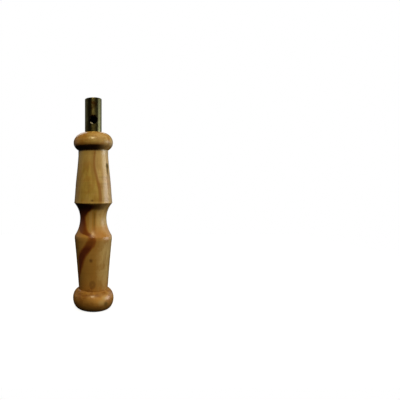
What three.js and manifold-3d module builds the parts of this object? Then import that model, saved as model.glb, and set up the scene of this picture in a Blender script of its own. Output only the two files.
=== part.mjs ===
// A mouse call: a short brass whistle tube that slides in the socket of a turned wooden handle.
// Lengths are in millimetres and +Z is up. The origin is the middle of the flat base.
import * as THREE from 'three';
import { mergeVertices } from 'three/addons/utils/BufferGeometryUtils.js';
import Module from 'manifold-3d';

const wasm = await Module();
wasm.setup();

// Handle, from the base up
const baseBeadRadius = 9.65;
const baseBeadWidestHeight = 4.8;
const baseBeadRoll = 3.3; // how far the bead's rounding reaches in from its widest circle
const baseBeadShoulder = 4.45; // height of the rounding above the widest circle
const lowerConeFootRadius = 6.87;
const lowerConeTopRadius = 8.88;
const lowerConeLength = 23.6;
const lowerConeHollow = 0.1; // how far the cone's side sinks below a straight line
const rimRoundHeight = 1.65; // the soft edge between the lower cone and the waist
const rimRoundDepth = 0.25;
const waistRadius = 6.28;
const waistLowerSweep = 14.6; // radius of the arc from the soft rim into the waist
const waistUpperSweep = 11.1; // radius of the arc from the waist out to the sharp rim
const upperConeFootRadius = 9.08;
const upperConeLength = 22.15;
const neckRadius = 7.1;
const neckLength = 2.65;
const topBeadRadius = 9.36;
const topBeadUndercutRoll = 6.5;
const topBeadUndercutHeight = 4.7;
const topBeadRoll = 5.6;
const topBeadCrownHeight = 4.95; // from the widest circle up to the handle's top

// Whistle tube, a piece of 8 mm brass tube
const tubeRadius = 4;
const tubeWall = 1;
const tubeLength = 42;
const tubeExposed = 16; // how much of it stands above the handle
const lipRound = 0.35; // rounding of the end that the lips take
const windowRadius = 1.65;
const windowDrop = 10.3; // from the tube's top down to the window's middle
const windowBevel = 0.5; // how deep the window's edge is countersunk
const tubePushIn = 3.3; // travel down into the handle

// Inside the tube and the handle
const blockRecess = 0.3; // how far the windway block sits below the lip
const windwayDepth = 1; // from the block's flat to the tube's inner wall
const airColumn = 14; // from the window's middle down to the cork
const corkLength = 5;
const rodPlay = 0.25; // between the rod and the tube that slides over it
const rodSocketDepth = 11;

// Clearances
const socketClearance = 0.1;
const corkClearance = 0.05;
const blockClearance = 0.05;
const rodClearance = 0.05;
const stopGap = 0.5; // left under the tube when it is pushed right in
const socketMouthBreak = 0.3; // chamfer at the socket's mouth

// Smoothness of the round solids
const facets = 40;
const windowFacets = 24;
const beadSteps = 8;
const sweepSteps = 6;
const lipSteps = 4;

// Worked out from the values above
const tubeInner = tubeRadius - tubeWall;
const socketRadius = tubeRadius + socketClearance;
const corkRadius = tubeInner - corkClearance;
const blockRadius = tubeInner - blockClearance;
const rodRadius = tubeInner - rodPlay;
const rodSocketRadius = rodRadius + rodClearance;
const socketDepth = tubeLength - tubeExposed + tubePushIn + stopGap;

const quarter = Math.PI / 2;

// Points along an ellipse's arc from one angle to another, where 0 points outwards and PI / 2 points up.
// The ellipse has its centre at a radius and a height, and a reach outwards and a rise upwards.
function arcPoints(ellipse, from, to, steps) {
  const points = [];
  for (let i = 0; i <= steps; i += 1) {
    const angle = from + ((to - from) * i) / steps;
    const radius = ellipse.radius + ellipse.reach * Math.cos(angle);
    points.push(new THREE.Vector2(radius, ellipse.height + ellipse.rise * Math.sin(angle)));
  }
  return points;
}

// The angle at which such an arc gets to a given radius.
function angleAt(ellipse, radius) {
  return Math.acos((radius - ellipse.radius) / ellipse.reach);
}

// The handle's outside from the flat base up to its top, as radius and height.
function handleOutline() {
  const points = [];

  // The bead at the base: a lower quarter from the flat foot, and an upper one that ends at the cone
  const under = {
    radius: baseBeadRadius - baseBeadRoll,
    height: baseBeadWidestHeight,
    reach: baseBeadRoll,
    rise: baseBeadWidestHeight,
  };
  const shoulder = { ...under, rise: baseBeadShoulder };
  points.push(...arcPoints(under, -quarter, 0, beadSteps));
  points.push(...arcPoints(shoulder, 0, angleAt(shoulder, lowerConeFootRadius), beadSteps).slice(1));

  // The lower cone, a little hollow, and the soft rim on top of it
  const coneFoot = points[points.length - 1].y;
  for (let i = 1; i <= sweepSteps; i += 1) {
    const along = i / sweepSteps;
    const straight = lowerConeFootRadius + (lowerConeTopRadius - lowerConeFootRadius) * along;
    const sunk = 4 * lowerConeHollow * along * (1 - along);
    points.push(new THREE.Vector2(straight - sunk, coneFoot + lowerConeLength * along));
  }
  const rimTopRadius = lowerConeTopRadius - rimRoundDepth;
  const rim = {
    radius: rimTopRadius,
    height: coneFoot + lowerConeLength,
    reach: rimRoundDepth,
    rise: rimRoundHeight,
  };
  points.push(...arcPoints(rim, 0, quarter, sweepSteps).slice(1));

  // The waist: two hollow arcs that meet where it is thinnest
  const lowerSweep = {
    radius: waistRadius + waistLowerSweep,
    reach: -waistLowerSweep,
    rise: waistLowerSweep,
  };
  const lowerAngle = angleAt(lowerSweep, rimTopRadius);
  lowerSweep.height = rim.height + rimRoundHeight + waistLowerSweep * Math.sin(lowerAngle);
  points.push(...arcPoints(lowerSweep, -lowerAngle, 0, sweepSteps).slice(1));
  const upperSweep = {
    radius: waistRadius + waistUpperSweep,
    height: lowerSweep.height,
    reach: -waistUpperSweep,
    rise: waistUpperSweep,
  };
  points.push(...arcPoints(upperSweep, 0, angleAt(upperSweep, upperConeFootRadius), sweepSteps).slice(1));

  // The upper cone, which narrows upwards to the neck
  const neckFoot = points[points.length - 1].y + upperConeLength;
  points.push(new THREE.Vector2(neckRadius, neckFoot));

  // The top bead: an undercut that springs from the neck, and a crown that ends at the socket's mouth
  const undercut = {
    radius: topBeadRadius - topBeadUndercutRoll,
    reach: topBeadUndercutRoll,
    rise: topBeadUndercutHeight,
  };
  const neckAngle = angleAt(undercut, neckRadius);
  undercut.height = neckFoot + neckLength + topBeadUndercutHeight * Math.sin(neckAngle);
  points.push(...arcPoints(undercut, -neckAngle, 0, beadSteps));
  const crown = {
    radius: topBeadRadius - topBeadRoll,
    height: undercut.height,
    reach: topBeadRoll,
    rise: topBeadCrownHeight,
  };
  points.push(...arcPoints(crown, 0, angleAt(crown, socketRadius + socketMouthBreak), beadSteps).slice(1));
  return points;
}

const outline = handleOutline();
const handleTop = outline[outline.length - 1].y;
const socketFloor = handleTop - socketDepth;
const rodFoot = socketFloor - rodSocketDepth;
const tubeTop = handleTop + tubeExposed;
const tubeFoot = tubeTop - tubeLength;
const windowHeight = tubeTop - windowDrop;
const corkTop = windowHeight - airColumn;
const corkFoot = corkTop - corkLength;

// A turned solid about +Z, from a profile that starts and ends on the axis or closes on itself.
function turned(profile) {
  return new THREE.LatheGeometry(profile, facets).rotateX(Math.PI / 2);
}

// Welds a geometry's vertices and drops the triangles that a lathe leaves flat at its poles.
function welded(geometry) {
  const bare = geometry.clone();
  bare.deleteAttribute('normal');
  bare.deleteAttribute('uv');
  const merged = mergeVertices(bare);
  const index = merged.index.array;
  const kept = [];
  for (let i = 0; i < index.length; i += 3) {
    const [a, b, c] = index.slice(i, i + 3);
    if (a !== b && b !== c && c !== a) {
      kept.push(a, b, c);
    }
  }
  merged.setIndex(kept);
  return merged;
}

// A welded geometry as a solid that can be joined and cut.
function toSolid(geometry) {
  const mesh = welded(geometry);
  const vertProperties = Float32Array.from(mesh.attributes.position.array);
  const triVerts = Uint32Array.from(mesh.index.array);
  return new wasm.Manifold(new wasm.Mesh({ numProp: 3, vertProperties, triVerts }));
}

// The solid back as a geometry.
function fromSolid(solid) {
  const { numProp, vertProperties, triVerts } = solid.getMesh();
  const geometry = new THREE.BufferGeometry();
  const positions = new Float32Array((vertProperties.length / numProp) * 3);
  for (let i = 0; i < positions.length / 3; i += 1) {
    positions.set(vertProperties.subarray(i * numProp, i * numProp + 3), i * 3);
  }
  geometry.setAttribute('position', new THREE.BufferAttribute(positions, 3));
  geometry.setIndex(new THREE.BufferAttribute(Uint32Array.from(triVerts), 1));
  geometry.computeVertexNormals();
  return geometry;
}

function point(radius, height) {
  return new THREE.Vector2(radius, height);
}

// One turned piece of wood: the outline, a socket for the tube and a deeper, narrower one for the rod.
function handleGeometry() {
  return welded(turned([
    point(0, 0),
    ...outline,
    point(socketRadius, handleTop - socketMouthBreak),
    point(socketRadius, socketFloor),
    point(rodSocketRadius, socketFloor),
    point(rodSocketRadius, rodFoot),
    point(0, rodFoot),
  ]));
}

// The tube, with its lip rounded inside and out, and a round countersunk window through the front wall only.
function tubeGeometry() {
  const outerLip = {
    radius: tubeRadius - lipRound,
    height: tubeTop - lipRound,
    reach: lipRound,
    rise: lipRound,
  };
  const innerLip = { ...outerLip, radius: tubeInner + lipRound, reach: -lipRound };
  const wall = turned([
    point(tubeInner, tubeFoot),
    point(tubeRadius, tubeFoot),
    ...arcPoints(outerLip, 0, quarter, lipSteps),
    ...arcPoints(innerLip, quarter, 0, lipSteps),
    point(tubeInner, tubeFoot),
  ]);
  const flare = 2 * windowBevel; // the cutter goes on widening past the tube's outside
  const cutter = new THREE.LatheGeometry([
    point(0, 0),
    point(windowRadius, 0),
    point(windowRadius, tubeRadius - windowBevel),
    point(windowRadius + flare, tubeRadius - windowBevel + flare),
    point(0, tubeRadius - windowBevel + flare),
  ], windowFacets);
  cutter.rotateX(Math.PI);
  cutter.translate(0, 0, windowHeight);
  return fromSolid(toSolid(wall).subtract(toSolid(cutter)));
}

// The block in the tube's mouth, with a flat on its front that faces the window.
function blockGeometry() {
  const blockTop = tubeTop - blockRecess;
  const blockFoot = windowHeight + windowRadius;
  const flatAt = tubeInner - windwayDepth;
  const halfFlat = Math.acos(flatAt / blockRadius);
  const shape = new THREE.Shape();
  shape.absarc(0, 0, blockRadius, halfFlat, 2 * Math.PI - halfFlat, false);
  shape.closePath();
  const geometry = new THREE.ExtrudeGeometry(shape, {
    depth: blockTop - blockFoot,
    bevelEnabled: false,
    curveSegments: facets,
  });
  geometry.rotateZ(-quarter);
  geometry.translate(0, 0, blockFoot);
  return welded(geometry);
}

// A plain round bar between two heights.
function barGeometry(radius, foot, top) {
  return welded(turned([
    point(0, foot),
    point(radius, foot),
    point(radius, top),
    point(0, top),
  ]));
}

// Materials
const varnishedWood = new THREE.MeshStandardMaterial({ color: 0xb98b45, roughness: 0.35, metalness: 0 });
const agedBrass = new THREE.MeshStandardMaterial({ color: 0x5e5934, roughness: 0.35, metalness: 1 });
const stainedWood = new THREE.MeshStandardMaterial({ color: 0x523c25, roughness: 0.7, metalness: 0 });
const dowelWood = new THREE.MeshStandardMaterial({ color: 0xc9ab7c, roughness: 0.7, metalness: 0 });
const cork = new THREE.MeshStandardMaterial({ color: 0xb58458, roughness: 0.9, metalness: 0 });

function piece(name, geometry, material) {
  const mesh = new THREE.Mesh(geometry, material);
  mesh.name = name;
  return mesh;
}

const call = new THREE.Group();
call.add(piece('handle', handleGeometry(), varnishedWood));
call.add(piece('stopper_rod', barGeometry(rodRadius, rodFoot, corkFoot), dowelWood));
call.add(piece('stopper_cork', barGeometry(corkRadius, corkFoot, corkTop), cork));

// What slides: the tube, with the block fixed in its mouth
const whistle = new THREE.Group();
whistle.add(piece('whistle_tube', tubeGeometry(), agedBrass));
whistle.add(piece('windway_block', blockGeometry(), stainedWood));
call.add(whistle);

export default call;
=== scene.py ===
"""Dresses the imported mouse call: a varnished wooden handle with an aged brass whistle tube in its top."""
import math

import bpy
import numpy as np
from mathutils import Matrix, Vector


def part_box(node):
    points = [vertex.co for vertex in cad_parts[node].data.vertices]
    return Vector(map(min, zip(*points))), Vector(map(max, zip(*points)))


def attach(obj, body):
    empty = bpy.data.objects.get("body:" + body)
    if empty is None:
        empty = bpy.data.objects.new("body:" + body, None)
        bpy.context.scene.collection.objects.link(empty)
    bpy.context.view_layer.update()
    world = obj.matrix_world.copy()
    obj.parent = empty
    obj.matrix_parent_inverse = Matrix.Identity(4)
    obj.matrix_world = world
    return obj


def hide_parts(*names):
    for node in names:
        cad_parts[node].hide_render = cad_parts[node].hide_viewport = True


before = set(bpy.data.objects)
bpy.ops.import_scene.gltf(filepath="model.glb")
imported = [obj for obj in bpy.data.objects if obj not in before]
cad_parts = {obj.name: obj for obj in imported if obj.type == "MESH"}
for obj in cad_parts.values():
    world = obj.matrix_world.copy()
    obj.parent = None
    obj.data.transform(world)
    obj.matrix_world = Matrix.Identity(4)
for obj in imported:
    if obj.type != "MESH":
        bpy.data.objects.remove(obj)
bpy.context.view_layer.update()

MM = 0.001
DEG = math.radians(1)
QUARTER_TURN = math.pi / 2

# Places that the frame gives
handle_low, handle_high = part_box("handle")
tube_low, tube_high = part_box("whistle_tube")
block_low, block_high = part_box("windway_block")
rod_low, rod_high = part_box("stopper_rod")
cork_low, cork_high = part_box("stopper_cork")
HANDLE_FOOT, HANDLE_TOP = handle_low[2], handle_high[2]
TUBE_FOOT, TUBE_TOP = tube_low[2], tube_high[2]

# Handle, the same driving sizes as the solid's
BASE_BEAD_RADIUS = 9.65 * MM
BASE_BEAD_WIDEST = 4.8 * MM
BASE_BEAD_ROLL = 3.3 * MM
BASE_BEAD_SHOULDER = 4.45 * MM
LOWER_CONE_FOOT = 6.87 * MM
LOWER_CONE_TOP = 8.88 * MM
LOWER_CONE_LENGTH = 23.6 * MM
LOWER_CONE_HOLLOW = 0.1 * MM
RIM_ROUND_HEIGHT = 1.65 * MM
RIM_ROUND_DEPTH = 0.25 * MM
WAIST_RADIUS = 6.28 * MM
WAIST_LOWER_SWEEP = 14.6 * MM
WAIST_UPPER_SWEEP = 11.1 * MM
UPPER_CONE_FOOT = 9.08 * MM
UPPER_CONE_LENGTH = 22.15 * MM
NECK_RADIUS = 7.1 * MM
NECK_LENGTH = 2.65 * MM
TOP_BEAD_RADIUS = 9.36 * MM
TOP_BEAD_UNDERCUT_ROLL = 6.5 * MM
TOP_BEAD_UNDERCUT_HEIGHT = 4.7 * MM
TOP_BEAD_ROLL = 5.6 * MM
TOP_BEAD_CROWN = 4.95 * MM
SOCKET_RADIUS = 4.1 * MM
SOCKET_BELOW_TUBE = 3.8 * MM
SOCKET_MOUTH_BREAK = 0.12 * MM
SOCKET_MOUTH_DEPTH = 0.22 * MM
ROD_SOCKET_RADIUS = 2.8 * MM
HANDLE_ROUND_STEPS = 144
HANDLE_ROW_SPACING = 0.16 * MM
ARC_STEPS = 80

# Tool marks that the turning left, as waves whose depth comes and goes along the handle
TOOL_MARKS = (
    # pitch, depth, where the wave starts, the length of its coming and going, and where that starts
    (0.83 * MM, 0.0030 * MM, 0.0, 11.3 * MM, 0),
    (1.37 * MM, 0.0025 * MM, 1.7, 15.4 * MM, 1),
    (2.9 * MM, 0.006 * MM, 3.4, 19.5 * MM, 2),
)
STEADY_SHARE, COMING_AND_GOING_SHARE = 0.6, 0.4
# The marks stay clear of the foot and of the top, and fade in from there
MARKS_CLEAR = 1.0 * MM
MARKS_FADE_IN = 2 * MM
# The slow swell of the upper cone
SWELL_FOOT, SWELL_TOP = 50 * MM, 71 * MM
SWELL_START = 63.6 * MM
SWELL_LENGTH = 16.4 * MM
SWELL_DEPTH = 0.05 * MM

# Tube
TUBE_RADIUS = 4.0 * MM
TUBE_WALL = 1.0 * MM
TUBE_INNER = TUBE_RADIUS - TUBE_WALL
LIP_ROUND = 0.35 * MM
LIP_STEPS = 9
WINDOW_RADIUS = 1.65 * MM
WINDOW_DROP = 10.3 * MM
WINDOW_BEVEL = 0.5 * MM
WINDOW_HEIGHT = TUBE_TOP - WINDOW_DROP
TUBE_ROUND_STEPS = 144
ROWS_BELOW_WINDOW = 60
ROWS_ABOVE_WINDOW = 24
WINDOW_PATCH_HALF_STEPS = 15
OUTER_SPOKE_STEPS = 7
INNER_SPOKE_STEPS = 5
# Shares of the way down the countersink and the hole, close together at the edges to keep them crisp
WINDOW_WALL_SHARES = (0.1, 0.5, 0.9, 1.0)

# Inside pieces
WINDWAY_DEPTH = 1.0 * MM
FLAT_AT = TUBE_INNER - WINDWAY_DEPTH
EDGE_SOFTNESS = 0.2 * MM
EDGE_STEPS = 7
BAR_ROUND_STEPS = 96
BAR_SIDE_STEPS = 12
BAR_END_STEPS = 6

# Points closer than this are one, and edges sharper than this stay sharp
WELD_DISTANCE = 0.0002 * MM
SHARP_ANGLE = 38 * DEG


def weld(points, quads):
    """Joins points that lie on the same spot and turns the quads that lose a corner into triangles."""
    keys = np.round(points / WELD_DISTANCE).astype(np.int64)
    _, first, inverse = np.unique(keys, axis=0, return_index=True, return_inverse=True)
    quads = inverse.reshape(-1)[quads]
    a, b, c, d = quads.T
    whole = (a != b) & (b != c) & (c != d) & (d != a)
    start_pole = (a == b) & (c != d)
    end_pole = (c == d) & (a != b)
    triangles = np.vstack([quads[start_pole][:, [1, 2, 3]], quads[end_pole][:, [0, 1, 2]]])
    return points[first], quads[whole], triangles


def grid_quads(rows, columns, start=0, rows_meet=False):
    """The quads of a grid of points, by row and column. Its last column meets the first, and its last row
    does too where rows_meet says so."""
    row, column = np.indices((rows if rows_meet else rows - 1, columns))
    above, beside = (row + 1) % rows, (column + 1) % columns
    feet = [row * columns + column, row * columns + beside]
    heads = [above * columns + beside, above * columns + column]
    return start + np.stack(feet + heads, -1)


def make_piece(name, points, quads):
    """A mesh object at the origin, from points in metres in the row frame, smooth but for sharp edges."""
    points, quads, triangles = weld(points, quads)
    mesh = bpy.data.meshes.new(name)
    mesh.from_pydata(points, [], quads.tolist() + triangles.tolist())
    mesh.validate()
    mesh.polygons.foreach_set("use_smooth", np.ones(len(mesh.polygons), bool))
    mesh.set_sharp_from_angle(angle=SHARP_ANGLE)
    piece = bpy.data.objects.new(name, mesh)
    bpy.context.scene.collection.objects.link(piece)
    return piece


def carried_round(radius, height, steps):
    """Points carried round the Z axis in even steps, row by row: x is r sin(a), y is -r cos(a). Every row
    has a height, and a radius that is one for the row or one for each angle."""
    angle = np.linspace(0, 2 * np.pi, steps, endpoint=False)
    x = radius * np.sin(angle)
    y = -radius * np.cos(angle)
    z = np.repeat(height[:, None], steps, axis=1)
    return np.stack([x, y, z], -1).reshape(-1, 3)


def ellipse_arc(centre_radius, centre_height, reach, rise, start, end, steps=ARC_STEPS):
    """Radii and heights along an ellipse's arc: r is centre + reach cos(t), z is centre + rise sin(t)."""
    t = np.linspace(start, end, steps)
    return np.column_stack([centre_radius + reach * np.cos(t), centre_height + rise * np.sin(t)])


def handle_outline():
    """The handle's outside as dense radii and heights: two beads of ellipse quarters, two cones and a waist
    of two arcs. It is the outline of the solid."""
    base_centre = BASE_BEAD_RADIUS - BASE_BEAD_ROLL
    foot = math.acos((LOWER_CONE_FOOT - base_centre) / BASE_BEAD_ROLL)
    base = ellipse_arc(base_centre, BASE_BEAD_WIDEST, BASE_BEAD_ROLL, BASE_BEAD_WIDEST, -QUARTER_TURN, 0)
    shoulder = ellipse_arc(base_centre, BASE_BEAD_WIDEST, BASE_BEAD_ROLL, BASE_BEAD_SHOULDER, 0, foot)

    cone_foot = shoulder[-1, 1]
    along = np.linspace(0, 1, ARC_STEPS)
    straight = LOWER_CONE_FOOT + (LOWER_CONE_TOP - LOWER_CONE_FOOT) * along
    hollow = 4 * LOWER_CONE_HOLLOW * along * (1 - along)
    lower_cone = np.column_stack([straight - hollow, cone_foot + LOWER_CONE_LENGTH * along])

    rim_foot = cone_foot + LOWER_CONE_LENGTH
    rim_centre = LOWER_CONE_TOP - RIM_ROUND_DEPTH
    rim = ellipse_arc(rim_centre, rim_foot, RIM_ROUND_DEPTH, RIM_ROUND_HEIGHT, 0, QUARTER_TURN)

    lower_centre = WAIST_RADIUS + WAIST_LOWER_SWEEP
    lower_angle = math.acos((lower_centre - LOWER_CONE_TOP + RIM_ROUND_DEPTH) / WAIST_LOWER_SWEEP)
    waist_height = rim_foot + RIM_ROUND_HEIGHT + WAIST_LOWER_SWEEP * math.sin(lower_angle)
    lower = ellipse_arc(lower_centre, waist_height, -WAIST_LOWER_SWEEP, WAIST_LOWER_SWEEP, -lower_angle, 0)
    upper_centre = WAIST_RADIUS + WAIST_UPPER_SWEEP
    upper_angle = math.acos((upper_centre - UPPER_CONE_FOOT) / WAIST_UPPER_SWEEP)
    upper = ellipse_arc(upper_centre, waist_height, -WAIST_UPPER_SWEEP, WAIST_UPPER_SWEEP, 0, upper_angle)

    neck_foot = upper[-1, 1] + UPPER_CONE_LENGTH
    neck = np.array([[NECK_RADIUS, neck_foot], [NECK_RADIUS, neck_foot + NECK_LENGTH]])
    undercut_centre = TOP_BEAD_RADIUS - TOP_BEAD_UNDERCUT_ROLL
    neck_angle = math.acos((NECK_RADIUS - undercut_centre) / TOP_BEAD_UNDERCUT_ROLL)
    widest = neck[1, 1] + TOP_BEAD_UNDERCUT_HEIGHT * math.sin(neck_angle)
    undercut = ellipse_arc(
        undercut_centre, widest, TOP_BEAD_UNDERCUT_ROLL, TOP_BEAD_UNDERCUT_HEIGHT, -neck_angle, 0)
    crown_centre = TOP_BEAD_RADIUS - TOP_BEAD_ROLL
    mouth = math.acos((SOCKET_RADIUS + SOCKET_MOUTH_BREAK - crown_centre) / TOP_BEAD_ROLL)
    crown = ellipse_arc(crown_centre, widest, TOP_BEAD_ROLL, TOP_BEAD_CROWN, 0, mouth)
    return np.vstack([base, shoulder, lower_cone, rim, lower, upper, neck, undercut, crown])


def even_steps(line, spacing):
    """The line again in even steps along it, which softens its corners by half a step."""
    length = np.concatenate([[0], np.cumsum(np.hypot(*np.diff(line, axis=0).T))])
    wanted = np.linspace(0, length[-1], int(length[-1] / spacing) + 1)
    return np.column_stack([np.interp(wanted, length, line[:, 0]), np.interp(wanted, length, line[:, 1])])


def tool_marks(height):
    """How far the side stands in at each height: the tool marks' sine waves and the upper cone's swell."""
    depth = np.zeros_like(height)
    for pitch, deep, start, share_length, share_start in TOOL_MARKS:
        coming_and_going = np.sin(2 * np.pi * height / share_length + share_start)
        share = STEADY_SHARE + COMING_AND_GOING_SHARE * coming_and_going
        depth += deep * share * np.sin(2 * np.pi * height / pitch + start)
    swell = SWELL_DEPTH * np.sin(2 * np.pi * (height - SWELL_START) / SWELL_LENGTH)
    return depth + swell * (height > SWELL_FOOT) * (height < SWELL_TOP)


def make_handle():
    """The handle: the outline with its tool marks, then the socket, the rod's narrower socket and its
    floor, carried round the axis."""
    outside = even_steps(handle_outline(), HANDLE_ROW_SPACING)
    height = outside[:, 1]
    above_foot = np.clip((height - HANDLE_FOOT - MARKS_CLEAR) / MARKS_FADE_IN, 0, 1)
    below_top = np.clip((HANDLE_TOP - MARKS_CLEAR - height) / MARKS_FADE_IN, 0, 1)
    outside[:, 0] -= tool_marks(height) * (above_foot * below_top)
    socket_floor = TUBE_FOOT - SOCKET_BELOW_TUBE
    rod_floor = rod_low[2]
    inside = np.array([
        [SOCKET_RADIUS, HANDLE_TOP - SOCKET_MOUTH_DEPTH],
        [SOCKET_RADIUS, (HANDLE_TOP + socket_floor) / 2],
        [SOCKET_RADIUS, socket_floor],
        [ROD_SOCKET_RADIUS, socket_floor],
        [ROD_SOCKET_RADIUS, rod_floor],
        [0, rod_floor],
    ])
    profile = np.vstack([[0, 0], outside, inside])
    points = carried_round(profile[:, :1], profile[:, 1], HANDLE_ROUND_STEPS)
    return make_piece("turned_handle", points, grid_quads(len(profile), HANDLE_ROUND_STEPS).reshape(-1, 4))


def patch_border(half_steps):
    """The steps round and up, from the window's middle, of the points on the border of a square patch of a
    grid, in order round it."""
    run = np.arange(-half_steps, half_steps)
    edge = np.full_like(run, half_steps)
    return np.concatenate([edge, -run, -edge, run]), np.concatenate([run, edge, -run, -edge])


def window_rim(turn):
    """Where the countersink's cone, 45 degrees steep, comes out of the tube's round side, as a distance
    from the window's own axis: the root of (rim + cone foot)^2 + (rim cos turn)^2 = tube radius^2."""
    offset = TUBE_RADIUS - WINDOW_BEVEL - WINDOW_RADIUS
    a = 1 + np.cos(turn) ** 2
    return (-offset + np.sqrt(offset**2 - a * (offset**2 - TUBE_RADIUS**2))) / a


def between(share, start, end):
    """What lies at a share of the way from a start to an end."""
    return (1 - share) * start + share * end


def window_patch(step_round, step_up):
    """The square patch round the window: spokes from its border on the tube's outside in to the window's
    rim, down the countersink and the hole's side, and out again to its border on the tube's inside."""
    border_round, border_up = patch_border(WINDOW_PATCH_HALF_STEPS)
    outer_x = TUBE_RADIUS * np.sin(border_round * step_round)
    inner_x = TUBE_INNER * np.sin(border_round * step_round)
    border_z = border_up * step_up
    turn = np.arctan2(border_z, outer_x)
    rim = window_rim(turn)
    rim_x, rim_z = rim * np.cos(turn), rim * np.sin(turn)
    hole_x, hole_z = WINDOW_RADIUS * np.cos(turn), WINDOW_RADIUS * np.sin(turn)
    rim_out = np.sqrt(TUBE_RADIUS**2 - rim_x**2)
    bevel_out = np.full_like(turn, TUBE_RADIUS - WINDOW_BEVEL)
    hole_out = np.sqrt(TUBE_INNER**2 - hole_x**2)

    rows = []
    for share in np.linspace(0, 1, OUTER_SPOKE_STEPS):
        x = between(share, outer_x, rim_x)
        rows.append((x, np.sqrt(TUBE_RADIUS**2 - x**2), between(share, border_z, rim_z)))
    for share in WINDOW_WALL_SHARES:
        x = between(share, rim_x, hole_x)
        rows.append((x, between(share, rim_out, bevel_out), between(share, rim_z, hole_z)))
    for share in WINDOW_WALL_SHARES:
        rows.append((hole_x, between(share, bevel_out, hole_out), hole_z))
    for share in np.linspace(0, 1, INNER_SPOKE_STEPS)[1:]:
        x = between(share, hole_x, inner_x)
        rows.append((x, np.sqrt(TUBE_INNER**2 - x**2), between(share, hole_z, border_z)))
    x, out, z = np.array(rows).transpose(1, 0, 2)
    return np.stack([x, -out, WINDOW_HEIGHT + z], -1)


def make_tube():
    """The tube: a closed profile of outside, rounded lip and inside carried round the axis, with a square
    patch of its grid on each side of the wall left out for the window's own patch."""
    half = WINDOW_PATCH_HALF_STEPS
    step_round = 2 * np.pi / TUBE_ROUND_STEPS
    step_up = TUBE_RADIUS * step_round
    lip_foot = TUBE_TOP - LIP_ROUND
    window_rows = WINDOW_HEIGHT + np.arange(-half, half + 1) * step_up
    below = np.linspace(TUBE_FOOT, window_rows[0], ROWS_BELOW_WINDOW)[:-1]
    above = np.linspace(window_rows[-1], lip_foot, ROWS_ABOVE_WINDOW)[1:]
    side = np.concatenate([below, window_rows, above])
    outer_centre, inner_centre = TUBE_RADIUS - LIP_ROUND, TUBE_INNER + LIP_ROUND
    outer_lip = ellipse_arc(outer_centre, lip_foot, LIP_ROUND, LIP_ROUND, 0, QUARTER_TURN, LIP_STEPS)[1:]
    inner_lip = ellipse_arc(inner_centre, lip_foot, -LIP_ROUND, LIP_ROUND, QUARTER_TURN, 0, LIP_STEPS)[:-1]
    radius = np.concatenate([
        np.full(len(side), TUBE_RADIUS), outer_lip[:, 0], inner_lip[:, 0], np.full(len(side), TUBE_INNER)])
    height = np.concatenate([side, outer_lip[:, 1], inner_lip[:, 1], side[::-1]])
    points = carried_round(radius[:, None], height, TUBE_ROUND_STEPS)

    quads = grid_quads(len(height), TUBE_ROUND_STEPS, rows_meet=True)
    row, column = np.indices(quads.shape[:2])
    first_outer = len(below)
    first_inner = len(height) - len(below) - 1 - 2 * half
    beside_window = (row >= first_outer) & (row < first_outer + 2 * half)
    beside_window |= (row >= first_inner) & (row < first_inner + 2 * half)
    beside_window &= (column < half) | (column >= TUBE_ROUND_STEPS - half)
    quads = quads[~beside_window]

    patch = window_patch(step_round, step_up)
    patch_quads = grid_quads(patch.shape[0], patch.shape[1], start=len(points)).reshape(-1, 4)
    all_points = np.vstack([points, patch.reshape(-1, 3)])
    return make_piece("brass_tube", all_points, np.vstack([quads, patch_quads]))


def soft_bar(name, radius_at, low, high):
    """A bar with softened ends: its outline, a radius for each angle round it, carried up the axis and
    drawn in at each end along a quarter circle."""
    t = np.linspace(0, QUARTER_TURN, EDGE_STEPS)[::-1]
    inset = EDGE_SOFTNESS * (1 - np.cos(t))
    rise = EDGE_SOFTNESS * (1 - np.sin(t))
    side = np.linspace(low + EDGE_SOFTNESS, high - EDGE_SOFTNESS, BAR_SIDE_STEPS)[1:-1]
    insets = np.concatenate([inset, np.zeros(len(side)), inset[::-1]])
    angle = np.linspace(0, 2 * np.pi, BAR_ROUND_STEPS, endpoint=False)
    radius = np.maximum(radius_at(angle)[None, :] - insets[:, None], 0)
    caps = np.linspace(0, 1, BAR_END_STEPS)[:-1]
    radius = np.vstack([caps[:, None] * radius[0], radius, caps[::-1, None] * radius[-1]])
    height = np.concatenate([
        np.full(len(caps), low), low + rise, side, high - rise[::-1], np.full(len(caps), high)])
    points = carried_round(radius, height, BAR_ROUND_STEPS)
    return make_piece(name, points, grid_quads(len(height), BAR_ROUND_STEPS).reshape(-1, 4))


def round_section(radius):
    """A circle's radius at every angle."""
    return lambda angle: np.full_like(angle, radius)


def flat_fronted_section(radius):
    """A circle with a flat towards the window: its radius, or the flat's distance over the cosine if less."""
    def section(angle):
        facing = np.cos(angle)
        return np.where(facing > FLAT_AT / radius, FLAT_AT / np.maximum(facing, FLAT_AT / radius), radius)
    return section


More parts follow.
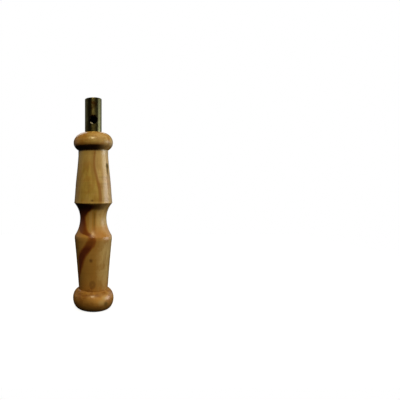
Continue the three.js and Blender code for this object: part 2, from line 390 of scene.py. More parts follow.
class Finish:
    """A material being put together. Its methods add nodes and give back what comes out of them, which is
    mostly a share from 0 to 1, and lay() covers the colour so far with another one by such a share."""

    def __init__(self, name, colour, **sockets):
        self.material = bpy.data.materials.new(name)
        self.material.use_nodes = True
        self.tree = self.material.node_tree
        self.shader = self.tree.nodes["Principled BSDF"]
        for socket, value in sockets.items():
            self.shader.inputs[socket.replace("_", " ")].default_value = value
        self.colour = colour
        self.place = self.node("ShaderNodeTexCoord").outputs["Object"]
        self.x, self.y, self.z = self.node("ShaderNodeSeparateXYZ", Vector=self.place).outputs
        # The turn is in radians to the right of the window, which faces -Y
        self.turn = self.calc("ARCTAN2", self.x, self.times(self.y, -1.0))

    def feed(self, socket, value):
        """Links a socket to an output, or sets it to a plain value."""
        if isinstance(value, bpy.types.NodeSocket):
            self.tree.links.new(value, socket)
        else:
            socket.default_value = value

    def node(self, kind, settings=None, **sockets):
        """A node of a kind, with its settings, and with its sockets set or linked by name."""
        node = self.tree.nodes.new(kind)
        for name, value in (settings or {}).items():
            setattr(node, name, value)
        for name, value in sockets.items():
            self.feed(node.inputs[name.replace("_", " ")], value)
        return node

    def calc(self, operation, a, b=0.0):
        """One step of arithmetic on values or outputs."""
        node = self.node("ShaderNodeMath", {"operation": operation})
        self.feed(node.inputs[0], a)
        self.feed(node.inputs[1], b)
        return node.outputs[0]

    def plus(self, a, b):
        return self.calc("ADD", a, b)

    def minus(self, a, b):
        return self.calc("SUBTRACT", a, b)

    def times(self, a, b):
        return self.calc("MULTIPLY", a, b)

    def larger(self, a, b):
        return self.calc("MAXIMUM", a, b)

    def reach(self, a, b):
        """How long a step of a one way and b the other is: the root of a squared plus b squared."""
        return self.calc("SQRT", self.plus(self.times(a, a), self.times(b, b)))

    def noise(self, across, along, detail=3.0, rough=0.55, warp=0.0):
        """Cloudy noise, so many times a metre across the grain and along it, about 0.5 on average."""
        place = self.node("ShaderNodeVectorMath", {"operation": "MULTIPLY"})
        self.feed(place.inputs[0], self.place)
        self.feed(place.inputs[1], (across, across, along))
        cloud = self.node("ShaderNodeTexNoise", Vector=place.outputs[0], Scale=1.0, Detail=detail,
                          Roughness=rough, Distortion=warp)
        return cloud.outputs["Fac"]

    def sway(self, noise, width):
        """A noise as a shift to either side, within a width."""
        return self.times(self.minus(noise, 0.5), width)

    def rise(self, value, low, high, top=1.0):
        """A soft step: 0 where the value is low and the top where it is high. It falls if low is larger."""
        (start, at_start), (end, at_end) = sorted([(low, 0.0), (high, top)])
        node = self.node("ShaderNodeMapRange", {"interpolation_type": "SMOOTHSTEP"}, Value=value,
                         From_Min=start, From_Max=end, To_Min=at_start, To_Max=at_end)
        return node.outputs["Result"]

    def band(self, value, middle, half, soft, top=1.0):
        """A soft band: the top within half of the middle, and 0 from half plus soft."""
        return self.rise(self.calc("ABSOLUTE", self.minus(value, middle)), half + soft, half, top)

    def scaled(self, value, from_low, from_high, to_low, to_high):
        """The value carried from one range to another in a straight line."""
        node = self.node("ShaderNodeMapRange", Value=value, From_Min=from_low, From_Max=from_high,
                         To_Min=to_low, To_Max=to_high)
        return node.outputs["Result"]

    def by_height(self, start, end, top=1.0):
        """A share that comes in from one height to another, both in mm, whichever is the higher."""
        return self.rise(self.z, start * MM, end * MM, top)

    def by_turn(self, start, end, top=1.0):
        """A share that comes in from one turn to another, both in degrees to the right of the window."""
        return self.rise(self.turn, start * DEG, end * DEG, top)

    def belt(self, middle, half, soft, top=1.0):
        """A soft band round the piece at a height, all in mm."""
        return self.band(self.z, middle * MM, half * MM, soft * MM, top)

    def stripe(self, middle, half, soft, top=1.0, turn=None):
        """A soft band up the piece at a turn, all in degrees, by the plain turn or another that is given."""
        return self.band(turn or self.turn, middle * DEG, half * DEG, soft * DEG, top)

    def from_spot(self, turn, height, half_width, half_height, radius):
        """How far a point is from an oval spot on the side, at a turn in degrees, with the rest in mm: 0 in
        its middle and 1 on its edge. The radius is the side's there."""
        across = self.times(self.minus(self.turn, turn * DEG), radius / half_width)
        up = self.times(self.minus(self.z, height * MM), 1 / (half_height * MM))
        return self.reach(across, up)

    def spot(self, turn, height, half_width, half_height, radius, gone, full, top):
        """A soft oval spot on the side: 0 from the distance gone outwards, the top from full inwards."""
        return self.rise(self.from_spot(turn, height, half_width, half_height, radius), gone, full, top)

    def along_height(self, points):
        """A smooth curve through (height in mm, angle in degrees) points, in radians at this height."""
        share = self.scaled(self.z, CURVE_FOOT * MM, CURVE_TOP * MM, 0, 1)
        node = self.node("ShaderNodeFloatCurve", Value=share)
        curve = node.mapping.curves[0]
        spots = [((z - CURVE_FOOT) / (CURVE_TOP - CURVE_FOOT), 0.5 + angle / 180) for z, angle in points]
        curve.points[0].location = spots[0]
        curve.points[-1].location = spots[-1]
        for spot in spots[1:-1]:
            curve.points.new(*spot)
        node.mapping.update()
        return self.scaled(node.outputs[0], 0, 1, -QUARTER_TURN, QUARTER_TURN)

    def paint(self, share, under, over):
        """One colour laid over another by a share."""
        node = self.node("ShaderNodeMix", {"data_type": "RGBA"})
        # By number, because the node has sockets of the same names for other kinds of data
        self.feed(node.inputs[0], share)
        self.feed(node.inputs[6], under)
        self.feed(node.inputs[7], over)
        return node.outputs[2]

    def lay(self, over, share):
        """Lays a colour over the colour so far."""
        self.colour = self.paint(share, self.colour, over)

    def finish(self, rough, height, strength, depth):
        """Sends the colour, the roughness and the bumps' height to the shader, and gives the material."""
        self.feed(self.shader.inputs["Base Color"], self.colour)
        self.feed(self.shader.inputs["Roughness"], rough)
        bump = self.node("ShaderNodeBump", Height=height, Strength=strength, Distance=depth)
        self.feed(self.shader.inputs["Normal"], bump.outputs[0])
        return self.material


# The heights in mm between which the figure's curves are read
CURVE_FOOT, CURVE_TOP = -5, 95
# Where the dark heartwood streak runs over the waist and the lower cone: (height in mm, turn in degrees)
STREAK_PATH = [
    (7.7, -75), (13.5, -69), (17.8, -56.5), (20.7, -50), (23.6, -46), (26, -38), (28, -27),
    (29.9, -15.5), (31.8, -8), (33.3, -4), (34.5, -6), (35.7, -24), (37.1, -42), (39.5, -54),
    (42.6, -57), (49.4, -59), (57.9, -75)]
# Half its width there, with less than nothing past its ends: (height in mm, degrees)
STREAK_HALF_WIDTH = [
    (7.7, -6), (13.5, 4), (17.8, 6.5), (20.7, 11), (23.6, 16), (26, 17), (28, 17),
    (31.8, 14), (33.3, 11), (34.5, 9), (35.7, 19), (37.1, 22), (39.5, 25), (42.6, 24),
    (44.1, 29), (45.3, 38), (46.7, 52), (47.9, 58), (49, 60), (49.9, -8), (57.9, -10)]
# The growth line, with olive wood on its left and paler wood on its right: (height in mm, turn in degrees)
GROWTH_LINE = [
    (0, 4), (11.6, 6), (23.1, 10), (34.7, 6), (42.4, 6), (50.1, 21), (56.4, 18), (61.7, 11),
    (67.5, 5), (73.3, 7), (82.9, 12)]

# The pith that the growth rings run round lies behind the handle, and the rings waver
PITH_RIGHT, PITH_BACK = 5 * MM, 15 * MM
PITH_LEAN = 0.06
RING_WIDTH = 2.3 * MM
RING_WAVER = 4 * MM

# Spots on the handle: turn in degrees, then height, half width, half height and the side's radius there, all
# in mm, then the distances where the spot is gone and where it is full, and its strength
# On the lower bead: gold that is partly a painted glow, a painted shade, and two pale spots that are partly
# painted highlight
GOLDEN_PAINTED_GLOW = (12, 6.0, 5.5, 1.9, 9.6, 1.5, 0.2, 0.7)
BEAD_PAINTED_SHADE = (-26, 4.0, 6.5, 3.4, 9.6, 1.5, 0.3, 0.5)
BEAD_SIDE_HIGHLIGHT = (33, 6.6, 1.6, 1.2, 9.6, 1.4, 0.2, 0.6)
BEAD_PALE_HIGHLIGHT = (24, 4.9, 1.9, 1.5, 9.6, 1.4, 0.2, 0.6)
BEAD_DARK_SPOT = (37, 3.9, 1.5, 1.5, 9.6, 1.3, 0.2, 0.85)
UPPER_CONE_SPECK = (-3, 51, 0.7, 0.6, 9, 1.3, 0.2, 1)
LOWER_CONE_SPECK = (-7.5, 23.7, 0.9, 1.0, 8.1, 1.4, 0.1, 1)
DULLED_RIM = (-2, 36, 3, 1.6, 8.6, 1.5, 0.3, 0.4)
RUBBED_TOP_BEAD = (48, 78.3, 4, 2, 9.3, 1.4, 0.4, 0.6)
# The same up to the radius, where only the distance from the spot is used
SLIT_WIDE_END = (60, 66.9, 1.35, 1.6, 7.7)
SLIT_TAIL = (58, 65.2, 0.8, 3.4, 7.8)
RING_KNOT = (-3, 12.5, 1.3, 1.6, 7.2)

# Wood colours
OLIVE_WOOD = (0.59, 0.402, 0.082, 1)
TAN_WOOD = (0.50, 0.245, 0.046, 1)
PALE_AND_HIGHLIT_WOOD = (0.69, 0.488, 0.178, 1)
ORANGE_WOOD = (0.54, 0.215, 0.03, 1)
LATE_WOOD = (0.36, 0.17, 0.022, 1)
# Fibre brown, also laid as painted shade
FIBRE_AND_SHADE_BROWN = (0.26, 0.12, 0.016, 1)
OLIVE_STREAK_AND_SHADE = (0.22, 0.14, 0.016, 1)
GROWTH_LINE_RED = (0.33, 0.12, 0.022, 1)
HEARTWOOD = (0.15, 0.028, 0.007, 1)
HEARTWOOD_RED = (0.22, 0.058, 0.004, 1)
DARK_HEART_AND_SHADE = (0.035, 0.006, 0.003, 1)
HEARTWOOD_EDGE = (0.34, 0.11, 0.014, 1)
BEAD_RUST = (0.30, 0.095, 0.016, 1)
BLOT_AND_GLOW_GOLD = (0.70, 0.35, 0.075, 1)
KNOT_BROWN = (0.12, 0.045, 0.012, 1)
BARK_BROWN = (0.10, 0.065, 0.015, 1)
SPOT_BROWN = (0.13, 0.085, 0.014, 1)
GROOVE_SHADE_BROWN = (0.022, 0.004, 0.002, 1)
ARRIS_HIGHLIGHT_AND_WEAR = (0.62, 0.40, 0.12, 1)


class HandleWood(Finish):
    """The handle's wood, with the noises and the growth line that several of its layers share."""

    def __init__(self):
        super().__init__("varnished_wood", OLIVE_WOOD, Specular_IOR_Level=0.15, Coat_Roughness=0.27)
        self.slow = self.noise(120, 22, detail=2)
        self.coarse = self.noise(420, 26, rough=0.6, warp=0.3)
        self.fibres = self.noise(1500, 70, detail=4, rough=0.6)
        self.fine = self.noise(5200, 260)
        self.patches = self.noise(170, 100, detail=4, rough=0.6)
        self.lathe_rings = self.noise(30, 620, detail=3)
        self.wavy_turn = self.plus(self.turn, self.sway(self.coarse, 14 * DEG))
        self.uneven_height = self.plus(self.z, self.sway(self.patches, 14 * MM))
        self.past_line = self.minus(self.wavy_turn, self.along_height(GROWTH_LINE))

    def past_growth_line(self, start, end, top=1.0):
        """A share that comes in from one turn to another, both in degrees past the growth line."""
        return self.rise(self.past_line, start * DEG, end * DEG, top)

    def olive_and_pale_wood(self):
        """Pale wood right of the growth line and olive wood left of it, parted crisply between the beads
        and gradually on them, and running into each other at the back."""
        crisp = self.past_growth_line(-2.5, 3.5)
        gradual = self.past_growth_line(-45, 35)
        between_beads = self.belt(41.5, 31, 5)
        side = self.plus(gradual, self.times(between_beads, self.minus(crisp, gradual)))
        self.lay(PALE_AND_HIGHLIT_WOOD, self.times(side, self.past_growth_line(165, 125)))

    def growth_rings(self):
        """Growth rings about the leaning pith, as soft darker bands."""
        from_pith_x = self.minus(self.plus(self.x, self.times(self.z, PITH_LEAN)), PITH_RIGHT)
        from_pith_y = self.minus(self.y, PITH_BACK)
        ring = self.plus(self.reach(from_pith_x, from_pith_y), self.times(self.slow, RING_WAVER))
        wave = self.calc("SINE", self.times(ring, 2 * math.pi / RING_WIDTH))
        self.lay(LATE_WOOD, self.rise(wave, 0.1, 1.0, 0.25))

    def grain(self):
        """Fibres, mottling and slow patches, which are weaker on the upper cone."""
        mottle = self.noise(330, 260, detail=4)
        patchy = self.scaled(self.z, 34 * MM, 52 * MM, 1.0, 0.5)
        self.lay(FIBRE_AND_SHADE_BROWN, self.rise(self.fibres, 0.35, 0.75, 0.3))
        self.lay(LATE_WOOD, self.rise(self.coarse, 0.47, 0.68, 0.4))
        self.lay(ORANGE_WOOD, self.rise(mottle, 0.5, 0.66, 0.35))
        self.lay(LATE_WOOD, self.times(patchy, self.rise(self.patches, 0.5, 0.57, 0.45)))
        self.lay(PALE_AND_HIGHLIT_WOOD, self.times(patchy, self.rise(self.patches, 0.5, 0.43, 0.35)))
        self.lay(FIBRE_AND_SHADE_BROWN, self.rise(self.fine, 0.55, 0.8, 0.35))

    def warm_and_pale_wood(self):
        """Warmer wood from the waist down, least at the right, and paler wood under the neck."""
        warm_side = self.times(self.by_height(49, 44), self.by_turn(45, -5, 0.85))
        self.lay(TAN_WOOD, self.times(warm_side, self.rise(self.slow, 0.1, 0.5)))
        self.lay(PALE_AND_HIGHLIT_WOOD, self.times(self.by_height(64, 73, 0.45), self.by_height(76, 74.5)))

    def lathe_lines(self):
        """Faint lines round the handle from the turning, and bolder ones at the upper cone's lower right,
        laid only within the side lamp's highlight, as painted ripples in that reflection.
        """
        hairlines = self.noise(40, 1500, detail=2)
        self.lay(FIBRE_AND_SHADE_BROWN, self.rise(hairlines, 0.5, 0.75, 0.12))
        # Painted reflection: turning lines darkened only within the side lamp's highlight band
        in_highlight_band = self.times(self.belt(56, 5, 5), self.stripe(40, 18, 12))
        self.lay(FIBRE_AND_SHADE_BROWN, self.times(in_highlight_band, self.rise(self.lathe_rings, 0.5, 0.62, 0.3)))

    def red_growth_line(self):
        """The growth line itself, reddish on the upper cone, with darker wood at its left under the neck."""
        line = self.rise(self.calc("ABSOLUTE", self.past_line), 7 * DEG, 1 * DEG, 0.68)
        on_upper_cone = self.times(self.by_height(45.3, 52.1), self.by_height(75, 73))
        self.lay(GROWTH_LINE_RED, self.times(line, on_upper_cone))
        along_left = self.times(self.past_growth_line(-20, -5), self.past_growth_line(1, -1.5))
        self.lay(LATE_WOOD, self.times(along_left, self.belt(67.5, 5, 4, 0.45)))

    def waist_and_lower_left(self):
        """An olive line up the waist between two pale streaks, orange wood at the waist's lower right, and
        painted shade at the lower cone's left."""
        olive_line = self.stripe(5, 1.5, 4, turn=self.wavy_turn)
        self.lay(OLIVE_STREAK_AND_SHADE, self.times(olive_line, self.belt(41, 3, 4, 0.55)))
        left_streak = self.stripe(-12, 3, 6, 0.35, self.wavy_turn)
        right_streak = self.stripe(19, 3, 5, 0.5, self.wavy_turn)
        self.lay(PALE_AND_HIGHLIT_WOOD, self.times(self.plus(left_streak, right_streak), self.belt(41.5, 3, 3)))
        self.lay(ORANGE_WOOD, self.times(self.stripe(40, 35, 20), self.belt(36.2, 1.5, 3, 0.45)))
        # Painted shade: the lower cone darker at its left
        self.lay(OLIVE_STREAK_AND_SHADE, self.times(self.by_turn(-35, -62), self.belt(22, 9, 4, 0.3)))

    def orange_beads(self):
        """End grain, where the side turns towards the axis, and the beads drink more varnish and turn
        orange, least on the front of the top bead. Both beads are streaked, and the lower one is blotted
        with rust and gold."""
        normal = self.node("ShaderNodeNewGeometry").outputs["Normal"]
        upright = self.node("ShaderNodeSeparateXYZ", Vector=normal).outputs["Z"]
        end_grain = self.rise(self.calc("ABSOLUTE", upright), 0.15, 0.85, 0.35)
        low_bead = self.rise(self.uneven_height, 16 * MM, 7.5 * MM, 0.65)
        top_bead = self.times(self.by_height(73.8, 75.7), self.by_turn(0, -50, 0.6))
        self.lay(ORANGE_WOOD, self.larger(end_grain, self.plus(low_bead, top_bead)))

        streaks = self.noise(230, 900, detail=4, rough=0.65, warp=0.4)
        on_low_bead = self.rise(self.uneven_height, 12 * MM, 8.5 * MM)
        on_beads = self.larger(on_low_bead, self.by_height(74.5, 77, 0.6))
        self.lay(FIBRE_AND_SHADE_BROWN, self.times(on_beads, self.rise(streaks, 0.47, 0.62, 0.4)))
        self.lay(PALE_AND_HIGHLIT_WOOD, self.times(on_beads, self.rise(streaks, 0.5, 0.38, 0.22)))
        blots = self.noise(430, 430, detail=5, rough=0.65)
        self.lay(BEAD_RUST, self.times(on_low_bead, self.rise(blots, 0.5, 0.6, 0.5)))
        self.lay(BLOT_AND_GLOW_GOLD, self.times(on_low_bead, self.rise(blots, 0.49, 0.4, 0.4)))

    def lower_bead_spots(self):
        """Gold in the lower bead's middle, partly a painted glow by its highlight, painted shade at its left,
        and a dark spot between two pale ones that are partly painted highlight.
        """
        self.lay(BLOT_AND_GLOW_GOLD, self.spot(*GOLDEN_PAINTED_GLOW))
        self.lay(FIBRE_AND_SHADE_BROWN, self.spot(*BEAD_PAINTED_SHADE))
        self.lay(PALE_AND_HIGHLIT_WOOD, self.larger(self.spot(*BEAD_PALE_HIGHLIGHT), self.spot(*BEAD_SIDE_HIGHLIGHT)))
        self.lay(SPOT_BROWN, self.spot(*BEAD_DARK_SPOT))

    def heartwood_streak(self):
        """The ragged heartwood streak, with a redder edge, darkest at the waist's top, where it also holds
        the painted shade under the upper cone's rim, and paler over the rim. It gives back where its dark end
        has drunk the varnish."""
        ragged_turn = self.plus(self.turn, self.sway(self.noise(700, 260), 9 * DEG))
        off = self.calc("ABSOLUTE", self.minus(ragged_turn, self.along_height(STREAK_PATH)))
        out_of_streak = self.minus(off, self.along_height(STREAK_HALF_WIDTH))
        self.lay(HEARTWOOD_EDGE, self.rise(out_of_streak, 5 * DEG, -3 * DEG, 0.95))
        heart = self.paint(self.belt(36, 1.5, 5), HEARTWOOD, HEARTWOOD_RED)
        # Painted shade under the upper cone's overhanging rim, laid in as the darkest heartwood
        shaded_waist_top = self.times(self.by_height(40, 47.5), self.by_height(50.2, 48.4))
        heart = self.paint(shaded_waist_top, heart, DARK_HEART_AND_SHADE)
        fades = self.minus(0.95, self.belt(32.3, 0.8, 2.5, 0.45))
        inner = self.times(self.rise(out_of_streak, 0, -9 * DEG), fades)
        self.lay(heart, inner)
        return self.times(inner, self.by_height(38, 46, 0.7))

    def knots(self):
        """A torn bark slit on the upper cone, a speck on each cone and a ring knot above the lower bead. It
        gives back the slit."""
        torn = self.sway(self.noise(1500, 260, detail=4), 1.5)
        from_slit = self.calc("MINIMUM", self.from_spot(*SLIT_WIDE_END), self.from_spot(*SLIT_TAIL))
        in_slit = self.rise(self.plus(from_slit, torn), 1.2, 0.45)
        slit = self.times(in_slit, self.scaled(self.z, 62 * MM, 66.5 * MM, 0.5, 0.95))
        self.lay(BARK_BROWN, slit)
        specks = self.larger(self.spot(*UPPER_CONE_SPECK), self.spot(*LOWER_CONE_SPECK))
        self.lay(KNOT_BROWN, self.times(specks, 0.7))
        self.lay(KNOT_BROWN, self.band(self.from_spot(*RING_KNOT), 0.65, 0.2, 0.6, 0.4))
        return slit

    def shades_red_edge_and_arris_highlight(self):
        """Painted shade in the grooves, fading out towards the right, a red edge under the top bead, painted
        shade towards the lower bead's foot, and a paler belt on the upper cone's arris that is a painted
        highlight and worn varnish. It gives back the painted shade in the two deep grooves."""
        self.lay(HEARTWOOD_EDGE, self.times(self.belt(76.8, 0.3, 0.6, 0.3), self.by_turn(60, 20)))
        # Painted shade: the grooves under the top bead and over the waist darkened, fading out towards the
        # right, and the groove over the lower bead darkened all round
        neck_shade = self.times(self.belt(75.2, 0.9, 0.9, 0.97), self.by_turn(55, 8))
        waist_shade = self.times(self.belt(48.1, 0.5, 1.7, 0.85), self.by_turn(70, 0))
        cone_foot_shade = self.belt(8.6, 0.4, 1.1, 0.27)
        self.lay(GROOVE_SHADE_BROWN, self.plus(neck_shade, self.plus(waist_shade, cone_foot_shade)))
        # Painted shade: the lower bead darkens towards its foot
        self.lay(FIBRE_AND_SHADE_BROWN, self.by_height(5.4, 1.8, 0.85))
        # A paler belt round the upper cone's lower arris: a painted highlight for its rounding, and worn
        # varnish
        self.lay(ARRIS_HIGHLIGHT_AND_WEAR, self.belt(50.1, 0.2, 0.5, 0.35))
        return self.plus(neck_shade, waist_shade)

    def varnish(self, sunk_in, slit, groove_shade):
        """The soft gloss of the varnish, and the relief of the wood. The varnish is missing in the slit,
        dull in the grooves of painted shade, over the lower bead, in the darkest heartwood and on the rim,
        and worn thin at the top bead's right and round the waist."""
        over_low_bead = self.belt(9.0, 0.5, 1.2, 0.7)
        dull = self.plus(self.times(groove_shade, 0.85), self.plus(self.times(slit, 1.4), over_low_bead))
        dull = self.plus(dull, self.plus(sunk_in, self.spot(*DULLED_RIM)))
        worn_thin = self.plus(self.spot(*RUBBED_TOP_BEAD), self.belt(41.5, 2.5, 4, 0.5))
        self.feed(self.shader.inputs["Coat Weight"], self.scaled(self.plus(dull, worn_thin), 0, 1, 1, 0))
        rough = self.larger(self.scaled(self.fibres, 0.3, 0.8, 0.36, 0.52), self.times(slit, 0.95))
        relief = self.plus(self.times(self.fibres, 0.25), self.times(self.fine, 0.1))
        relief = self.plus(relief, self.times(self.lathe_rings, 0.2))
        return self.finish(rough, self.minus(relief, slit), strength=0.5, depth=0.25 * MM)


def varnished_wood():
    """Pale tan wood under a glossy varnish, in layers from the plain wood up."""
    wood = HandleWood()
    wood.olive_and_pale_wood()
    wood.growth_rings()
    wood.grain()
    wood.warm_and_pale_wood()
    wood.lathe_lines()
    wood.red_growth_line()
    wood.waist_and_lower_left()
    wood.orange_beads()
    wood.lower_bead_spots()
    sunk_in = wood.heartwood_streak()
    slit = wood.knots()
    groove_shade = wood.shades_red_edge_and_arris_highlight()
    return wood.varnish(sunk_in, slit, groove_shade)


# Brass colours
OLIVE_BRASS = (0.145, 0.143, 0.060, 1)
BROWN_STAIN = (0.110, 0.085, 0.030, 1)
BROWN_AND_REFLECTED_BRASS = (0.30, 0.26, 0.095, 1)
GREEN_BRASS = (0.21, 0.23, 0.13, 1)
RUST_BROWN = (0.15, 0.078, 0.020, 1)
GOLD_BRASS = (0.36, 0.32, 0.12, 1)
DRAWN_AND_REFLECTED_DARK = (0.062, 0.055, 0.020, 1)
TARNISH = (0.03, 0.02, 0.008, 1)
WORN_AND_SHEEN_BRASS = (0.165, 0.170, 0.088, 1)
PALE_REFLECTION_BRASS = (0.30, 0.31, 0.20, 1)
BARE_HIGHLIGHT_BRASS = (0.55, 0.50, 0.33, 1)
INSIDE_SHADE = (0.02, 0.014, 0.008, 1)

# The tarnished ring round the window, the bare spot at its lower left, a painted highlight, and where
# the painted shade inside begins
WINDOW_RING_RADIUS = WINDOW_RADIUS + 0.25 * MM
WINDOW_RING_HALF, WINDOW_RING_SOFT = 0.2 * MM, 0.15 * MM
WINDOW_RING_FRONT = (-3.0 * MM, -3.3 * MM)
BARE_HIGHLIGHT_LEFT, BARE_HIGHLIGHT_DOWN = 0.75 * MM, 1.75 * MM
BARE_HIGHLIGHT_REACH = (1.0 * MM, 0.5 * MM)
WORN_LIP_BELOW_TOP = (0.5 * MM, 0.1 * MM)
DARK_INSIDE_RADII = (3.45 * MM, 3.15 * MM)


def aged_brass():
    """Brass gone olive-brown: greener at its left, brown with rust and gold blotches in front, with painted
    reflections as stripes up it, a browner middle, dark lines either side and a pale band and edge at its
    right, dark drawn lines along it, a worn lip, a bare spot of painted highlight at the window's lower left,
    and painted shade inside."""
    brass = Finish("aged_brass", OLIVE_BRASS)
    drawn = brass.noise(1800, 40, rough=0.6)
    stains = brass.noise(420, 300, detail=4, rough=0.6, warp=0.4)
    specks = brass.noise(2200, 2200, detail=2)
    blotches = brass.noise(560, 380, detail=4, rough=0.6, warp=0.6)
    # The stripes waver a little
    brass.turn = brass.plus(brass.turn, brass.sway(brass.noise(500, 180), 14 * DEG))

    brass.lay(GREEN_BRASS, brass.stripe(-62, 18, 14))
    brass.lay(BROWN_STAIN, brass.rise(stains, 0.35, 0.7))
    # Painted reflections as stripes at fixed turns: a browner middle that is partly patina, a pale band and a
    # pale right edge
    brass.lay(BROWN_AND_REFLECTED_BRASS, brass.stripe(3, 8, 12, 0.8))
    brass.lay(WORN_AND_SHEEN_BRASS, brass.stripe(46, 12, 7, 0.9))
    brass.lay(PALE_REFLECTION_BRASS, brass.stripe(76, 9, 8, 0.7))
    in_front = brass.stripe(3, 16, 10)
    rusty = brass.plus(brass.rise(blotches, 0.5, 0.6, 0.65), brass.belt(95.3, 1.2, 1.5, 0.35))
    golden = brass.plus(brass.rise(blotches, 0.49, 0.4, 0.6), brass.belt(91.8, 0.5, 1.0, 0.4))
    brass.lay(RUST_BROWN, brass.times(in_front, rusty))
    brass.lay(GOLD_BRASS, brass.times(in_front, golden))
    # Painted reflections: dark stripes to either side of the middle
    brass.lay(DRAWN_AND_REFLECTED_DARK, brass.plus(brass.stripe(-20, 3, 8, 0.6), brass.stripe(26, 3, 5, 0.55)))
    brass.lay(DRAWN_AND_REFLECTED_DARK, brass.rise(drawn, 0.4, 0.75, 0.4))
    brass.lay(TARNISH, brass.rise(specks, 0.62, 0.75, 0.5))
    from_lip, to_lip = WORN_LIP_BELOW_TOP
    brass.lay(WORN_AND_SHEEN_BRASS, brass.rise(brass.z, TUBE_TOP - from_lip, TUBE_TOP - to_lip, 0.5))

    # The window's tarnished edge, on the front only, with its bare spot of painted highlight, and the painted
    # shade inside
    above_window = brass.minus(brass.z, WINDOW_HEIGHT)
    from_window = brass.reach(brass.x, above_window)
    ring = brass.band(from_window, WINDOW_RING_RADIUS, WINDOW_RING_HALF, WINDOW_RING_SOFT)
    edge = brass.times(ring, brass.rise(brass.y, *WINDOW_RING_FRONT))
    spot_x, spot_z = brass.plus(brass.x, BARE_HIGHLIGHT_LEFT), brass.plus(above_window, BARE_HIGHLIGHT_DOWN)
    from_bare_highlight = brass.reach(spot_x, spot_z)
    highlit_bare_edge = brass.times(edge, brass.rise(from_bare_highlight, *BARE_HIGHLIGHT_REACH))
    brass.lay(TARNISH, edge)
    brass.lay(BARE_HIGHLIGHT_BRASS, highlit_bare_edge)
    # Painted shade: the tube's inside darkened nearly to black
    brass.lay(INSIDE_SHADE, brass.rise(brass.reach(brass.x, brass.y), *DARK_INSIDE_RADII, 0.95))

    # The bare edge, a painted highlight, is made less metallic so that it scatters light
    brass.feed(brass.shader.inputs["Metallic"], brass.scaled(highlit_bare_edge, 0, 1, 1, 0.4))
    relief = brass.plus(brass.times(drawn, 0.5), specks)
    rough = brass.scaled(stains, 0.3, 0.75, 0.3, 0.42)
    return brass.finish(rough, relief, strength=0.25, depth=0.06 * MM)


# Colours of the inside pieces; the windway block's very dark wood is painted shade inside the tube
SHADED_BLOCK_PALE, SHADED_BLOCK_DARK = (0.10, 0.052, 0.020, 1), (0.045, 0.022, 0.008, 1)
DOWEL_PALE, DOWEL_DARK = (0.55, 0.4, 0.2, 1), (0.33, 0.2, 0.08, 1)
CORK_BROWN, CORK_PALE, CORK_PORE = (0.30, 0.165, 0.075, 1), (0.47, 0.29, 0.15, 1), (0.07, 0.032, 0.014, 1)
CORK_CELLS_A_METRE = 1800.0


def plain_wood(name, pale, dark, across, along):
    """Bare wood with darker fibres and flecks, so many fibres a metre across the piece and along it."""
    wood = Finish(name, pale)
    fibres = wood.noise(across, along, detail=4, rough=0.6)
    flecks = wood.noise(across * 0.4, along * 2, detail=2)
    wood.lay(dark, wood.rise(fibres, 0.3, 0.75))
    wood.lay(dark, wood.rise(flecks, 0.6, 0.75, 0.5))
    rough = wood.scaled(fibres, 0.3, 0.8, 0.6, 0.8)
    return wood.finish(rough, fibres, strength=0.4, depth=0.08 * MM)


def natural_cork():
    """Cork: a mosaic of small cells with dark pores."""
    bark = Finish("natural_cork", CORK_BROWN)
    cells = bark.node("ShaderNodeTexVoronoi", Vector=bark.place, Scale=CORK_CELLS_A_METRE).outputs["Color"]
    shade = bark.node("ShaderNodeRGBToBW", Color=cells).outputs[0]
    pores = bark.noise(900, 700, rough=0.65)
    bark.lay(CORK_PALE, shade)
    bark.lay(CORK_PORE, bark.rise(pores, 0.58, 0.68))
    rough = bark.scaled(pores, 0.3, 0.7, 0.75, 0.95)
    return bark.finish(rough, bark.minus(shade, pores), strength=0.6, depth=0.1 * MM)


handle = make_handle()
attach(handle, "handle")
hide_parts("handle")
handle.data.materials.append(varnished_wood())

tube = make_tube()
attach(tube, "whistle")
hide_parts("whistle_tube")
tube.data.materials.append(aged_brass())

block = soft_bar("windway_plug", flat_fronted_section(block_high[0]), block_low[2], block_high[2])
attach(block, "whistle")
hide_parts("windway_block")
# The windway block's wood made very dark: painted shade seen through the window
block.data.materials.append(plain_wood("block_wood", SHADED_BLOCK_PALE, SHADED_BLOCK_DARK, 1400, 90))

rod = soft_bar("stopper_dowel", round_section(rod_high[0]), rod_low[2], rod_high[2])
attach(rod, "handle")
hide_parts("stopper_rod")
rod.data.materials.append(plain_wood("dowel_wood", DOWEL_PALE, DOWEL_DARK, 1600, 60))

cork = soft_bar("cork_stopper", round_section(cork_high[0]), cork_low[2], cork_high[2])
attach(cork, "handle")
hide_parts("stopper_cork")
cork.data.materials.append(natural_cork())


# Camera, as in the photograph: a close view, level, with the call left of the picture's middle
PICTURE_PIXELS = 400.0
FOCAL_PIXELS = 350.0
AXIS_X_PIXEL, HORIZON_Y_PIXEL = 93.3, 187.0
SENSOR = 36.0
CAMERA_DISTANCE, CAMERA_HEIGHT = 166.8 * MM, 57.2 * MM
camera_data = bpy.data.cameras.new("photo_camera")
camera_data.sensor_width = SENSOR
camera_data.lens = FOCAL_PIXELS / PICTURE_PIXELS * SENSOR
camera_data.shift_x = (PICTURE_PIXELS / 2 - AXIS_X_PIXEL) / PICTURE_PIXELS
camera_data.shift_y = (HORIZON_Y_PIXEL - PICTURE_PIXELS / 2) / PICTURE_PIXELS
camera = bpy.data.objects.new("photo_camera", camera_data)
camera.location = (0, -CAMERA_DISTANCE, CAMERA_HEIGHT)
camera.rotation_euler = (QUARTER_TURN, 0, 0)
bpy.context.scene.collection.objects.link(camera)
bpy.context.scene.camera = camera


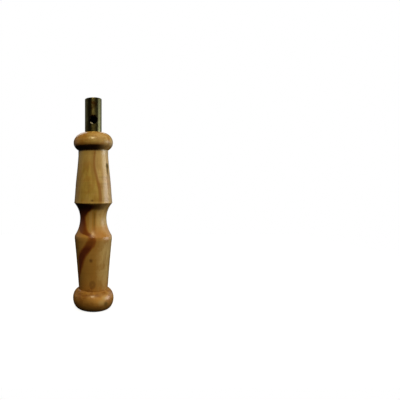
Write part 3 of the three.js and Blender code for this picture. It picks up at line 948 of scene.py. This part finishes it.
# Soft lamps round the call: how far they hang, what they face, and what comes from each side
LAMP_DISTANCE = 550 * MM
LAMP_TARGET = Vector((0, 0, 53 * MM))
WARM_LAMP = (1.0, 0.82, 0.48)
CREAM_LAMP = (1.0, 0.90, 0.70)
WHITE_LAMP = (1.0, 0.97, 0.90)
LAMPS = (
    # name, turn to the right of the camera, lift above level, width and height, brightness, colour
    ("front_lamp", -4, 44, 13, 13, 21.5, WARM_LAMP),
    ("front_fill", 20, 44, 50, 40, 0.65, CREAM_LAMP),
    ("high_lamp", 50, 62, 50, 40, 1.6, WHITE_LAMP),
    ("side_lamp", 86, 4, 34, 18, 4.2, WHITE_LAMP),
    ("side_fill", 112, 5, 70, 40, 0.5, WHITE_LAMP),
    ("left_fill", -112, 15, 56, 40, 0.2, CREAM_LAMP),
    ("back_lamp", 190, 38, 40, 30, 1.4, WHITE_LAMP),
)
# Lamps that light the call without being mirrored in it
UNMIRRORED_LAMPS = ("front_fill", "high_lamp")

# The surroundings as seen and how they light the call, then the same of the floor
WHITE = (1, 1, 1, 1)
SHADE_GLOW = 0.02
FLOOR_HALF = 250 * MM
FLOOR_GLOW = 0.88
FLOOR_PALE = (0.4, 0.4, 0.4, 1)
FLOOR_DARK = (0.03, 0.03, 0.03, 1)


def hang_lamp(name, turn, lift, wide, high, brightness, colour):
    """A soft rectangular lamp, from its direction and its size as seen from the call, in degrees. Its power
    is pi times its area times its brightness."""
    across, up = turn * DEG, lift * DEG
    way = Vector((math.sin(across) * math.cos(up), -math.cos(across) * math.cos(up), math.sin(up)))
    lamp = bpy.data.lights.new(name, "AREA")
    lamp.shape = "RECTANGLE"
    lamp.size = 2 * LAMP_DISTANCE * math.tan(wide * DEG / 2)
    lamp.size_y = 2 * LAMP_DISTANCE * math.tan(high * DEG / 2)
    lamp.energy = math.pi * lamp.size * lamp.size_y * brightness
    lamp.color = colour
    holder = bpy.data.objects.new(name, lamp)
    holder.location = LAMP_TARGET + way * LAMP_DISTANCE
    holder.rotation_euler = way.to_track_quat("Z", "Y").to_euler()
    holder.visible_camera = False
    holder.visible_glossy = name not in UNMIRRORED_LAMPS
    bpy.context.scene.collection.objects.link(holder)


def seen_or_cast(tree, output, seen, cast):
    """Sends one shader to what the camera sees straight on, another to the light that falls on the call."""
    either = tree.nodes.new("ShaderNodeMixShader")
    ray = tree.nodes.new("ShaderNodeLightPath")
    tree.links.new(ray.outputs["Is Camera Ray"], either.inputs[0])
    tree.links.new(cast.outputs[0], either.inputs[1])
    tree.links.new(seen.outputs[0], either.inputs[2])
    tree.links.new(either.outputs[0], output.inputs["Surface"])


def white_surroundings():
    """White behind the call, and hardly any light from there on it."""
    world = bpy.data.worlds.new("studio")
    world.use_nodes = True
    bpy.context.scene.world = world
    sky = world.node_tree
    seen = sky.nodes["Background"]
    seen.inputs["Color"].default_value = WHITE
    cast = sky.nodes.new("ShaderNodeBackground")
    cast.inputs["Color"].default_value = WHITE
    cast.inputs["Strength"].default_value = SHADE_GLOW
    seen_or_cast(sky, sky.nodes["World Output"], seen, cast)


def pale_floor():
    """A wide pale floor that takes a faint shadow and throws little light back up."""
    corners = FLOOR_HALF * np.array([[-1, -1, 0], [1, -1, 0], [1, 1, 0], [-1, 1, 0]])
    mesh = bpy.data.meshes.new("pale_floor")
    mesh.from_pydata(corners, [], [[0, 1, 2, 3]])
    floor = bpy.data.objects.new("pale_floor", mesh)
    bpy.context.scene.collection.objects.link(floor)
    material = bpy.data.materials.new("pale_floor")
    material.use_nodes = True
    tree = material.node_tree
    tree.nodes.remove(tree.nodes["Principled BSDF"])
    glow = tree.nodes.new("ShaderNodeEmission")
    glow.inputs["Strength"].default_value = FLOOR_GLOW
    pale = tree.nodes.new("ShaderNodeBsdfDiffuse")
    pale.inputs["Color"].default_value = FLOOR_PALE
    seen = tree.nodes.new("ShaderNodeAddShader")
    tree.links.new(glow.outputs[0], seen.inputs[0])
    tree.links.new(pale.outputs[0], seen.inputs[1])
    cast = tree.nodes.new("ShaderNodeBsdfDiffuse")
    cast.inputs["Color"].default_value = FLOOR_DARK
    seen_or_cast(tree, tree.nodes["Material Output"], seen, cast)
    mesh.materials.append(material)
    return floor


pale_floor()
white_surroundings()
for lamp in LAMPS:
    hang_lamp(*lamp)
bpy.context.scene.view_settings.view_transform = "Standard"
